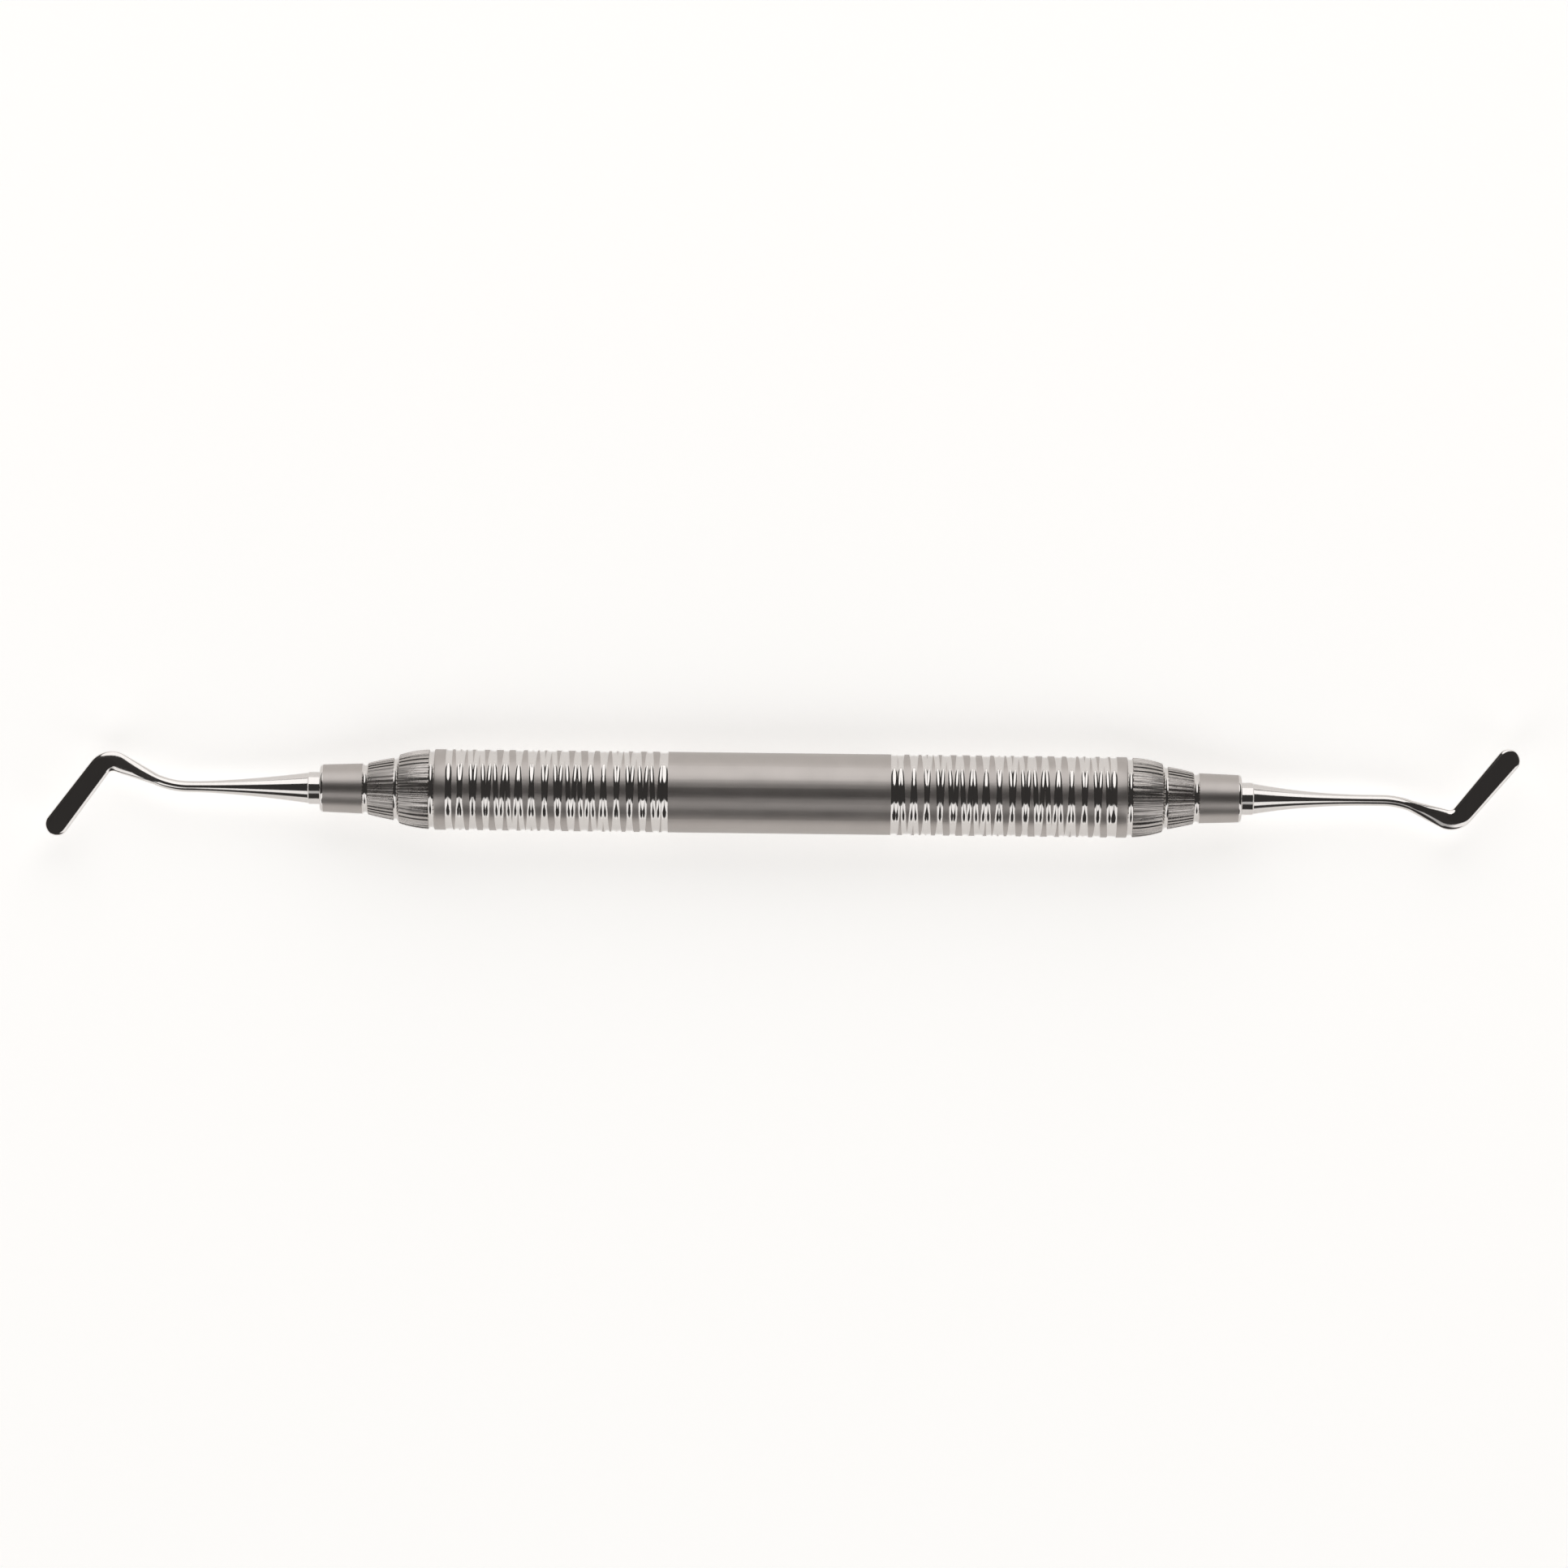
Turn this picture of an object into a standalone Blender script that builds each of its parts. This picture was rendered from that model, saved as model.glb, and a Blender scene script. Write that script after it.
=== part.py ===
"""Double-ended plastic filling instrument: a hollow grooved handle with a bent spatula at each end.

The instrument lies along X with both blades flat in the XY plane.  Lengths are in metres, angles in
degrees.  Every turned piece shares one set of facet angles, so a spigot keeps an even gap in its bore.
"""

from math import atan2, ceil, copysign, cos, pi, radians, sin, sqrt, tan

import bmesh
import bpy

# Handle tube
TUBE_DIAMETER = 0.0096
TUBE_WALL = 0.0008
CENTRE_LENGTH = 0.0264
GRIP_LENGTH = 0.02685
END_BAND = 0.00115
TUBE_CHAMFER = 0.0001

# Two single-start grooves of opposite hand cross each other along each grip, between two ring grooves
LEFT_HAND_PITCH = 0.001703
RIGHT_HAND_PITCH = 0.001437
GROOVE_WIDTH = 0.00062
GROOVE_DEPTH = 0.00009
ROW_GAP = 0.000015

# Where each grip starts, and how far round, in turns, its left-hand and right-hand grooves start
GRIPS = {
    "left": {"left_hand_start": 0.35, "right_hand_start": 0.04},
    "right": {"left_hand_start": 0.81, "right_hand_start": 0.74},
}

# Turned end cone, from the tube outwards: bright groove, large knurl, groove, small knurl, groove, nose
SEAM_GROOVE_LENGTH = 0.0006
SEAM_GROOVE_DIAMETER = 0.0091
LARGE_KNURL_LENGTH = 0.00365
LARGE_KNURL_BASE_DIAMETER = 0.00948
LARGE_KNURL_NOSE_DIAMETER = 0.0082
LARGE_KNURL_BULGE = 0.00012
MIDDLE_GROOVE_LENGTH = 0.00055
MIDDLE_GROOVE_DIAMETER = 0.0072
SMALL_KNURL_LENGTH = 0.00315
SMALL_KNURL_BASE_DIAMETER = 0.00745
SMALL_KNURL_NOSE_DIAMETER = 0.00618
NOSE_GROOVE_LENGTH = 0.00055
NOSE_GROOVE_DIAMETER = 0.00575
NOSE_LENGTH = 0.00515
NOSE_BASE_DIAMETER = 0.00597
NOSE_END_DIAMETER = 0.00565
NOSE_ROUNDING = 0.00035
KNURL_RIDGES = 40
KNURL_DEPTH = 0.00016
SPIGOT_LENGTH = 0.007
SPIGOT_LEAD_IN = 0.0005

# Joint between each spatula and its cone, and the fits
TANG_DIAMETER = 0.00385
SOCKET_DEPTH = 0.011
SOCKET_CHAMFER = 0.0003
SOCKET_END_GAP = 0.0003
TANG_LEAD_IN = 0.0004
FIT_GAP = 0.00005

# Spatula, measured out from the nose face
COLLAR_LENGTH = 0.0013
FLARE_DIAMETER = 0.00362
SHANK_DIAMETER = 0.0013
FLARE_END = 0.0150
SHANK_BEND_RADIUS = 0.010
ELBOW_RADIUS = 0.0019
ELBOW_WIDTH = 0.0023
BLADE_ROOT_WIDTH = 0.0025
BLADE_TIP_WIDTH = 0.00275
BLADE_THICKNESS = 0.00055
BLADE_EDGE = 0.00018
COLLAR_EDGE = 0.00012

# Each end is ground and bent by hand to its own shape: how its shank falls away from the collar, how far
# out and to the side its elbow lies, its two angles and how long its blade is beyond the elbow
ENDS = {
    "left": {
        "flare_power": 1.5,
        "elbow_reach": 0.0254,
        "elbow_offset": 0.00334,
        "neck_angle": 23.5,
        "blade_angle": 53.6,
        "blade_length": 0.0113,
    },
    "right": {
        "flare_power": 2.0,
        "elbow_reach": 0.0255,
        "elbow_offset": 0.00258,
        "neck_angle": 20.3,
        "blade_angle": 50.0,
        "blade_length": 0.0111,
    },
}

# Facets: a flat of every turned piece faces straight down, and each curve is drawn in so many steps
SIDES = KNURL_RIDGES // 2
FIRST_ANGLE = pi / SIDES
KNURL_STEPS = 2
NOSE_ROUNDING_STEPS = 2
FLARE_STEPS = 6
SHANK_BEND_STEPS = 4
NECK_STEPS = 4
ELBOW_STEPS = 7
TIP_STEPS = 5
TIP_LAST_ANGLE = 80
EDGE_FACETS = 3
FLARE_STEP_GROWTH = 1.3

TUBE_RADIUS = TUBE_DIAMETER / 2
BORE_RADIUS = TUBE_RADIUS - TUBE_WALL
TUBE_HALF_LENGTH = CENTRE_LENGTH / 2 + GRIP_LENGTH + END_BAND
NOSE_FACE = (TUBE_HALF_LENGTH + SEAM_GROOVE_LENGTH + LARGE_KNURL_LENGTH + MIDDLE_GROOVE_LENGTH
             + SMALL_KNURL_LENGTH + NOSE_GROOVE_LENGTH + NOSE_LENGTH)

SATIN_STEEL = ("satin_steel", (0.56, 0.54, 0.51), 0.42)
POLISHED_STEEL = ("polished_steel", (0.62, 0.61, 0.59), 0.12)


def clear_scene():
    for existing in list(bpy.data.objects):
        bpy.data.objects.remove(existing, do_unlink=True)


def steel(finish):
    """Return the steel with this finish, made the first time that it is asked for."""
    name, colour, roughness = finish
    found = bpy.data.materials.get(name)
    if found:
        return found
    made = bpy.data.materials.new(name)
    made.use_nodes = True
    shader = made.node_tree.nodes["Principled BSDF"]
    shader.inputs["Base Color"].default_value = (*colour, 1.0)
    shader.inputs["Metallic"].default_value = 1.0
    shader.inputs["Roughness"].default_value = roughness
    return made


def turned_ring(x, radius, sides=SIDES):
    """Return the points of one round section of a turned piece."""
    points = []
    for side in range(sides):
        angle = FIRST_ANGLE + 2 * pi * side / sides
        points.append((x, radius * cos(angle), radius * sin(angle)))
    return points


def knurled_ring(x, radius):
    """Return a section through straight knurling, which has two ridges to each flat of a plain ring."""
    points = []
    for corner in range(2 * KNURL_RIDGES):
        angle = FIRST_ANGLE + pi * corner / KNURL_RIDGES
        r = radius if corner % 2 else radius - KNURL_DEPTH
        points.append((x, r * cos(angle), r * sin(angle)))
    return points


def bridge(mesh, near, far):
    """Join two rings of vertices.  One may have twice as many as the other, starting at the same angle."""
    if len(near) == len(far):
        for i in range(len(near)):
            j = (i + 1) % len(near)
            mesh.faces.new((near[i], near[j], far[j], far[i]))
        return
    coarse, fine = (near, far) if len(near) < len(far) else (far, near)
    for i in range(len(coarse)):
        j = (i + 1) % len(coarse)
        a, middle, b = fine[2 * i], fine[2 * i + 1], fine[(2 * i + 2) % len(fine)]
        for corners in ((coarse[i], coarse[j], middle), (coarse[i], middle, a), (coarse[j], b, middle)):
            mesh.faces.new(corners)


def loft(name, rings, closed=False):
    """Skin a list of rings into a mesh.  A closed loft joins its last ring to its first, as in a tube."""
    mesh = bmesh.new()
    loops = [[mesh.verts.new(point) for point in ring] for ring in rings]
    for near, far in zip(loops, loops[1:]):
        bridge(mesh, near, far)
    if closed:
        bridge(mesh, loops[-1], loops[0])
    else:
        mesh.faces.new(loops[0])
        mesh.faces.new(loops[-1])
    bmesh.ops.recalc_face_normals(mesh, faces=mesh.faces)
    data = bpy.data.meshes.new(name)
    mesh.to_mesh(data)
    mesh.free()
    data.shade_smooth()
    data.set_sharp_from_angle(angle=radians(25))
    return data


def place(name, data, finish, parent, turned=False):
    """Add one sub-part.  A turned one is swung half round, to point at the other end."""
    piece = bpy.data.objects.new(name, data)
    piece.parent = parent
    if turned:
        piece.rotation_euler = (0, 0, pi)
    if not data.materials:
        data.materials.append(steel(finish))
    bpy.context.collection.objects.link(piece)
    return piece


def groove_centres(grip, turn):
    """Return where the grooves of a grip cross one line along the tube, as distances into the grip.

    A left-hand groove moves back along the grip as it goes round, and a right-hand one moves on.  Past
    the ends a groove is held in its ring groove, so the sorted list is as long at every turn, and after
    a full turn it is the same list.
    """
    first, last = GROOVE_WIDTH / 2, GRIP_LENGTH - GROOVE_WIDTH / 2
    centres = []
    for k in range(ceil(last / LEFT_HAND_PITCH) + 2):
        centres.append(LEFT_HAND_PITCH * (k + grip["left_hand_start"] - turn))
    for k in range(-1, ceil(last / RIGHT_HAND_PITCH) + 1):
        centres.append(RIGHT_HAND_PITCH * (k + grip["right_hand_start"] + turn))
    centres = sorted(min(last, max(first, centre)) for centre in centres)

    # Where two grooves meet, their rows stay a little apart
    for i in range(1, len(centres)):
        centres[i] = max(centres[i], centres[i - 1] + 4 * ROW_GAP)
    centres[-1] = min(centres[-1], last)
    for i in range(len(centres) - 1, 0, -1):
        centres[i - 1] = min(centres[i - 1], centres[i] - 4 * ROW_GAP)
    return centres


def groove_profile(grip, turn):
    """Return (distance, depth) pairs along one line of a grip: edge, bottom and edge of each groove."""
    centres = groove_centres(grip, turn)
    half = GROOVE_WIDTH / 2
    profile = []
    for i, centre in enumerate(centres):
        to_last = (centre - centres[i - 1]) / 2 if i else centre
        to_next = (centres[i + 1] - centre) / 2 if i + 1 < len(centres) else GRIP_LENGTH - centre
        before = min(half, to_last - ROW_GAP)
        after = min(half, to_next - ROW_GAP)
        profile.append((centre - before, GROOVE_DEPTH * (1 - before / half)))
        profile.append((centre, GROOVE_DEPTH))
        profile.append((centre + after, GROOVE_DEPTH * (1 - after / half)))
    return profile


def grip_rings(start, grip):
    """Return the rings of one grip.  Each follows one edge or bottom of a groove all the way round."""
    lines = []
    for side in range(SIDES):
        angle = FIRST_ANGLE + 2 * pi * side / SIDES
        line = []
        for distance, depth in groove_profile(grip, angle / (2 * pi)):
            r = TUBE_RADIUS - depth
            line.append((start + distance, r * cos(angle), r * sin(angle)))
        lines.append(line)
    return [list(ring) for ring in zip(*lines)]


def handle_tube():
    """Loft the tube: plain ends and centre, and between them the rings that draw the crossing grooves."""
    outside = TUBE_HALF_LENGTH - TUBE_CHAMFER
    rings = [turned_ring(-TUBE_HALF_LENGTH, TUBE_RADIUS - TUBE_CHAMFER), turned_ring(-outside, TUBE_RADIUS)]
    rings += grip_rings(-CENTRE_LENGTH / 2 - GRIP_LENGTH, GRIPS["left"])
    rings += grip_rings(CENTRE_LENGTH / 2, GRIPS["right"])
    rings += [turned_ring(outside, TUBE_RADIUS), turned_ring(TUBE_HALF_LENGTH, TUBE_RADIUS - TUBE_CHAMFER)]
    rings += [turned_ring(TUBE_HALF_LENGTH, BORE_RADIUS), turned_ring(-TUBE_HALF_LENGTH, BORE_RADIUS)]
    return loft("handle_tube", rings, closed=True)


def knurled_taper(start, length, base_diameter, nose_diameter, bulge=0, steps=1):
    """Return the rings of one knurled cone.  One that swells between its ends is drawn in more steps."""
    rings = []
    for step in range(steps + 1):
        share = step / steps
        straight = base_diameter + (nose_diameter - base_diameter) * share
        rings.append(knurled_ring(start + length * share, straight / 2 + bulge * sin(pi * share)))
    return rings


def end_cone():
    """Loft the turned cone from its spigot inside the tube, out over the knurls and back down the socket."""
    spigot = BORE_RADIUS - FIT_GAP
    x = TUBE_HALF_LENGTH
    rings = [
        turned_ring(x - SPIGOT_LENGTH, spigot - SPIGOT_LEAD_IN),
        turned_ring(x - SPIGOT_LENGTH + SPIGOT_LEAD_IN, spigot),
        turned_ring(x, spigot),
        turned_ring(x, SEAM_GROOVE_DIAMETER / 2, KNURL_RIDGES),
    ]
    x += SEAM_GROOVE_LENGTH
    rings.append(turned_ring(x, SEAM_GROOVE_DIAMETER / 2, KNURL_RIDGES))
    rings += knurled_taper(x, LARGE_KNURL_LENGTH, LARGE_KNURL_BASE_DIAMETER, LARGE_KNURL_NOSE_DIAMETER,
                           LARGE_KNURL_BULGE, KNURL_STEPS)
    x += LARGE_KNURL_LENGTH
    for edge in (x, x + MIDDLE_GROOVE_LENGTH):
        rings.append(turned_ring(edge, MIDDLE_GROOVE_DIAMETER / 2, KNURL_RIDGES))
    x += MIDDLE_GROOVE_LENGTH
    rings += knurled_taper(x, SMALL_KNURL_LENGTH, SMALL_KNURL_BASE_DIAMETER, SMALL_KNURL_NOSE_DIAMETER)
    x += SMALL_KNURL_LENGTH
    for edge in (x, x + NOSE_GROOVE_LENGTH):
        rings.append(turned_ring(edge, NOSE_GROOVE_DIAMETER / 2, KNURL_RIDGES))
    x += NOSE_GROOVE_LENGTH
    rings.append(turned_ring(x, NOSE_BASE_DIAMETER / 2, KNURL_RIDGES))
    for step in range(NOSE_ROUNDING_STEPS + 1):
        turn = pi / 2 * step / NOSE_ROUNDING_STEPS
        edge_x = NOSE_FACE - NOSE_ROUNDING * (1 - sin(turn))
        edge_radius = NOSE_END_DIAMETER / 2 - NOSE_ROUNDING * (1 - cos(turn))
        rings.append(turned_ring(edge_x, edge_radius, KNURL_RIDGES))
    socket = TANG_DIAMETER / 2 + FIT_GAP
    rings += [
        turned_ring(NOSE_FACE, socket + SOCKET_CHAMFER),
        turned_ring(NOSE_FACE - SOCKET_CHAMFER, socket),
        turned_ring(NOSE_FACE - SOCKET_DEPTH, socket),
    ]
    return loft("end_cone", rings)


def spatula_section(width, thickness, flatness):
    """Return a section as (across, up) pairs: round at flatness 0, flat-topped with round edges at 1."""
    edge = min(BLADE_EDGE, width / 2)
    flat_from = FIRST_ANGLE + 2 * pi / SIDES * (EDGE_FACETS - 1)
    section = []
    for side in range(SIDES):
        angle = FIRST_ANGLE + 2 * pi * side / SIDES
        c, s = cos(angle), sin(angle)
        round_point = (width / 2 * c, thickness / 2 * s)
        off_edge = atan2(abs(s), abs(c))
        if off_edge < flat_from:
            lean = pi / 2 * off_edge / flat_from
            flat_point = (width / 2 - edge * (1 - cos(lean)), thickness / 2 * sin(lean))
        else:
            inward = (pi / 2 - off_edge) / (pi / 2 - flat_from)
            flat_point = ((width / 2 - edge) * inward, thickness / 2)
        flat_point = (copysign(flat_point[0], c), copysign(flat_point[1], s))
        section.append(tuple(r + (f - r) * flatness for r, f in zip(round_point, flat_point)))
    return section


def station(reach, offset, heading, width, thickness, flatness):
    """Return one ring across the spatula at a point of its centre line, square to its heading.

    The centre line is drawn by its reach beyond the nose face and its offset towards -Y.
    """
    side_x, side_y = -sin(heading), cos(heading)
    ring = []
    for across, up in spatula_section(width, thickness, flatness):
        ring.append((NOSE_FACE + reach + across * side_x, -offset - across * side_y, up))
    return ring


def tang_and_flare(end):
    """Return the rings of the tang in its socket, the collar that stands out of it and the long flare."""
    tang_end = SOCKET_END_GAP - SOCKET_DEPTH
    sizes = [
        (tang_end, TANG_DIAMETER - 2 * TANG_LEAD_IN),
        (tang_end + TANG_LEAD_IN, TANG_DIAMETER),
        (COLLAR_LENGTH, TANG_DIAMETER),
    ]
    flare_start = COLLAR_LENGTH + COLLAR_EDGE
    for step in range(FLARE_STEPS + 1):
        share = (step / FLARE_STEPS) ** FLARE_STEP_GROWTH
        fall = (1 - share) ** end["flare_power"]
        diameter = SHANK_DIAMETER + (FLARE_DIAMETER - SHANK_DIAMETER) * fall
        sizes.append((flare_start + (FLARE_END - flare_start) * share, diameter))
    return [station(reach, 0, 0, diameter, diameter, 0) for reach, diameter in sizes]


def bent_shank_and_neck(end):
    """Return the rings of the round shank's gentle bend and of the neck, forged flat towards the elbow."""
    neck = radians(end["neck_angle"])
    shank_tangent = SHANK_BEND_RADIUS * tan(neck / 2)
    elbow_tangent = ELBOW_RADIUS * tan((neck + radians(end["blade_angle"])) / 2)
    bend_start = end["elbow_reach"] - end["elbow_offset"] / tan(neck) - shank_tangent
    rings = []
    for step in range(SHANK_BEND_STEPS + 1):
        heading = neck * step / SHANK_BEND_STEPS
        reach = bend_start + SHANK_BEND_RADIUS * sin(heading)
        offset = SHANK_BEND_RADIUS * (1 - cos(heading))
        rings.append(station(reach, offset, heading, SHANK_DIAMETER, SHANK_DIAMETER, 0))

    neck_length = (end["elbow_reach"] - reach) / cos(neck) - elbow_tangent
    for step in range(1, NECK_STEPS + 1):
        share = step / NECK_STEPS
        eased = share * share * (3 - 2 * share)
        from_corner = elbow_tangent + neck_length * (1 - share)
        reach = end["elbow_reach"] - from_corner * cos(neck)
        offset = end["elbow_offset"] - from_corner * sin(neck)
        width = SHANK_DIAMETER + (ELBOW_WIDTH - SHANK_DIAMETER) * share
        thickness = SHANK_DIAMETER + (BLADE_THICKNESS - SHANK_DIAMETER) * eased
        rings.append(station(reach, offset, neck, width, thickness, eased))
    return rings


def elbow(end):
    """Return the rings of the elbow, which turns the flat strip back across the axis."""
    neck, blade = radians(end["neck_angle"]), radians(end["blade_angle"])
    corner_to_centre = ELBOW_RADIUS / cos((neck + blade) / 2)
    towards_centre = (neck - blade) / 2
    centre_reach = end["elbow_reach"] + corner_to_centre * sin(towards_centre)
    centre_offset = end["elbow_offset"] - corner_to_centre * cos(towards_centre)
    rings = []
    for step in range(1, ELBOW_STEPS + 1):
        share = step / ELBOW_STEPS
        heading = neck - (neck + blade) * share
        reach = centre_reach - ELBOW_RADIUS * sin(heading)
        offset = centre_offset + ELBOW_RADIUS * cos(heading)
        width = ELBOW_WIDTH + (BLADE_ROOT_WIDTH - ELBOW_WIDTH) * share
        rings.append(station(reach, offset, heading, width, BLADE_THICKNESS, 1))
    return rings


def blade_tip(end):
    """Return the rings of the half-round tip, whose edge is rounded as the long edges are."""
    blade = radians(end["blade_angle"])
    tip_radius = BLADE_TIP_WIDTH / 2
    rings = []
    for step in range(TIP_STEPS + 1):
        turn = radians(TIP_LAST_ANGLE) * step / TIP_STEPS
        from_end = tip_radius * (1 - sin(turn))
        distance = end["blade_length"] - from_end
        off_flat = max(0, 1 - from_end / BLADE_EDGE)
        thickness = BLADE_THICKNESS * sqrt(1 - off_flat * off_flat)
        reach = end["elbow_reach"] + distance * cos(blade)
        offset = end["elbow_offset"] - distance * sin(blade)
        rings.append(station(reach, offset, -blade, BLADE_TIP_WIDTH * cos(turn), thickness, 1))
    return rings


def spatula(name, end):
    return loft(name, tang_and_flare(end) + bent_shank_and_neck(end) + elbow(end) + blade_tip(end))


def build():
    clear_scene()
    frame = bpy.data.objects.new("instrument_frame", None)
    bpy.context.collection.objects.link(frame)

    place("handle_tube", handle_tube(), SATIN_STEEL, frame)
    cone = end_cone()
    blades = {side: spatula("spatula_" + side, end) for side, end in ENDS.items()}
    for side, data in blades.items():
        place("end_cone_" + side, cone, SATIN_STEEL, frame, turned=side == "left")
        place("spatula_" + side, data, POLISHED_STEEL, frame, turned=side == "left")

    # The frame puts the middle of the outline over the origin and the tube's lowest flat on the floor
    corners = {side: [vertex.co for vertex in data.vertices] for side, data in blades.items()}
    middle = []
    for axis in (0, 1):
        highest = max([co[axis] for co in corners["right"]] + [-co[axis] for co in corners["left"]])
        lowest = min([co[axis] for co in corners["right"]] + [-co[axis] for co in corners["left"]])
        middle.append((highest + lowest) / 2)
    frame.location = (-middle[0], -middle[1], TUBE_RADIUS * cos(pi / SIDES))


build()
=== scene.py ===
from math import atan2, cos, hypot, pi, radians, sin, tan

import bpy
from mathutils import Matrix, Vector


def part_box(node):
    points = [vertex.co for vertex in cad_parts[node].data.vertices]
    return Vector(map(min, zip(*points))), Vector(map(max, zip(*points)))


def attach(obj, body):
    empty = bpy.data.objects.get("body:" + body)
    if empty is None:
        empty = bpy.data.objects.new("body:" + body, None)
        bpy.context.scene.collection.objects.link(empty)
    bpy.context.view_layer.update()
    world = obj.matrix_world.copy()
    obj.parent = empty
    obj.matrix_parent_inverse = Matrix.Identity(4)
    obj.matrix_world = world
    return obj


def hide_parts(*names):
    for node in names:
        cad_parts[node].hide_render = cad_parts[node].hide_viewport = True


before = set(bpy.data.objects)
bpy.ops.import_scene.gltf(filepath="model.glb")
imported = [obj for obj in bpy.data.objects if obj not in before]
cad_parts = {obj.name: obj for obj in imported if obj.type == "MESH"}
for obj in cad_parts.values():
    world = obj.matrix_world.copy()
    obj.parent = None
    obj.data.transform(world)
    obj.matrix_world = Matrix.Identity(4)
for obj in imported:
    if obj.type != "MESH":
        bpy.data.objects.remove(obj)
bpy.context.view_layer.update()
bpy.ops.object.select_all(action="DESELECT")

# Camera. It looks straight down on the instrument from a metre away through a long lens, as in a product
# picture, and the instrument lies turned in its frame by less than a degree.
PHOTO_SIDE = 1932
METRES_PER_PIXEL = 0.00009665
HANDLE_MIDDLE_PIXEL = (962.0, 977.6)
TURN_IN_FRAME = radians(0.67)
LENS = 200.0
SENSOR = 36.0
CLIP = (0.01, 20)

tube_low, tube_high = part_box("handle_tube")
handle_middle = (tube_low + tube_high) / 2
right = Vector((cos(TURN_IN_FRAME), sin(TURN_IN_FRAME), 0))
up_the_frame = Vector((-sin(TURN_IN_FRAME), cos(TURN_IN_FRAME), 0))
aim = handle_middle.copy()
aim += right * (PHOTO_SIDE / 2 - HANDLE_MIDDLE_PIXEL[0]) * METRES_PER_PIXEL
aim += up_the_frame * (HANDLE_MIDDLE_PIXEL[1] - PHOTO_SIDE / 2) * METRES_PER_PIXEL
camera_distance = PHOTO_SIDE * METRES_PER_PIXEL * LENS / SENSOR
bpy.ops.object.camera_add(location=aim + Vector((0, 0, camera_distance)), rotation=(0, 0, TURN_IN_FRAME))
camera = bpy.context.object
camera.name = "camera"
camera.data.lens = LENS
camera.data.sensor_width = SENSOR
camera.data.clip_start, camera.data.clip_end = CLIP
bpy.context.scene.camera = camera

# Handle. It is one drawn steel tube, bead-blasted all over and then turned: a round-nosed tool cuts two
# crossing grooves of opposite hand into each grip, with a ring groove at either end, and leaves them bright.
TUBE_DIAMETER = 0.0096
TUBE_WALL = 0.0008
TUBE_EDGE = 0.00012
GROOVE_WIDTH = 0.00062
GROOVE_DEPTH = 0.00013
RING_GROOVE_WIDTH = 0.00078
TUBE_SIDES = 96
TUBE_EDGE_STEPS = 3
TUBE_CORNER = radians(60)
TOOL_SIDES = 28

# Each grip's own cuts: how far along its first ring groove is and how far on its last one, then the pitch
# of each crossing groove, less than nothing where it is left-handed, and the part of a turn it starts at.
GRIPS = {
    "left": (-0.03944, 0.02566, (-0.001695, 0.0491), (0.00143, 0.3166)),
    "right": (0.013455, 0.02608, (-0.001703, 0.5546), (0.001437, 0.5627)),
}

SATIN_DARK = (0.41, 0.378, 0.359)
SATIN_LIGHT = (0.45, 0.415, 0.394)
SATIN_ROUGHNESS = (0.36, 0.41)
SATIN_RELIEF = 0.000004
POLISHED_DARK = (0.61, 0.582, 0.562)
POLISHED_LIGHT = (0.66, 0.63, 0.608)
POLISHED_ROUGHNESS = (0.09, 0.13)
POLISHED_RELIEF = 0.0000004

# How many octaves of noise each effect has, how far its marks are drawn out, and the part of the smears'
# noise that the gloss follows.
PIT_DETAIL = 3
PATCH_DETAIL = 2
MARK_DETAIL = 4
SMEAR_DETAIL = 2
MARK_STRETCH = (1.0, 0.07, 0.07)
SMEAR_RANGE = (0.3, 0.7)
SMOOTH_ANGLE = radians(30)

SATIN = 0
BRIGHT = 1


def effect_group(name, inputs, outputs):
    """Start a shader node group with number inputs and outputs, and return it with its two end nodes."""
    group = bpy.data.node_groups.new(name, "ShaderNodeTree")
    for socket_name, value in inputs.items():
        socket = group.interface.new_socket(name=socket_name, in_out="INPUT", socket_type="NodeSocketFloat")
        socket.default_value = value
    for socket_name in outputs:
        group.interface.new_socket(name=socket_name, in_out="OUTPUT", socket_type="NodeSocketFloat")
    return group, group.nodes.new("NodeGroupInput"), group.nodes.new("NodeGroupOutput")


# Blasting leaves fine pits all over, a little denser in some places than in others.
blasting, given, result = effect_group("bead_blasting", {"Pit Scale": 9000, "Patch Scale": 500},
                                       ["Pits", "Patches"])
place = blasting.nodes.new("ShaderNodeTexCoord")
pits = blasting.nodes.new("ShaderNodeTexNoise")
pits.inputs["Detail"].default_value = PIT_DETAIL
patches = blasting.nodes.new("ShaderNodeTexNoise")
patches.inputs["Detail"].default_value = PATCH_DETAIL
blasting.links.new(place.outputs["Object"], pits.inputs["Vector"])
blasting.links.new(place.outputs["Object"], patches.inputs["Vector"])
blasting.links.new(given.outputs["Pit Scale"], pits.inputs["Scale"])
blasting.links.new(given.outputs["Patch Scale"], patches.inputs["Scale"])
blasting.links.new(pits.outputs["Fac"], result.inputs["Pits"])
blasting.links.new(patches.outputs["Fac"], result.inputs["Patches"])

# Handling leaves hair-fine marks that run across the instrument, and faint smears between them.
handling, given, result = effect_group("handling_marks", {"Mark Scale": 2600, "Smear Scale": 180},
                                       ["Marks", "Smears"])
place = handling.nodes.new("ShaderNodeTexCoord")
stretched = handling.nodes.new("ShaderNodeMapping")
stretched.inputs["Scale"].default_value = MARK_STRETCH
marks = handling.nodes.new("ShaderNodeTexNoise")
marks.inputs["Detail"].default_value = MARK_DETAIL
smears = handling.nodes.new("ShaderNodeTexNoise")
smears.inputs["Detail"].default_value = SMEAR_DETAIL
handling.links.new(place.outputs["Object"], stretched.inputs["Vector"])
handling.links.new(stretched.outputs["Vector"], marks.inputs["Vector"])
handling.links.new(place.outputs["Object"], smears.inputs["Vector"])
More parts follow.
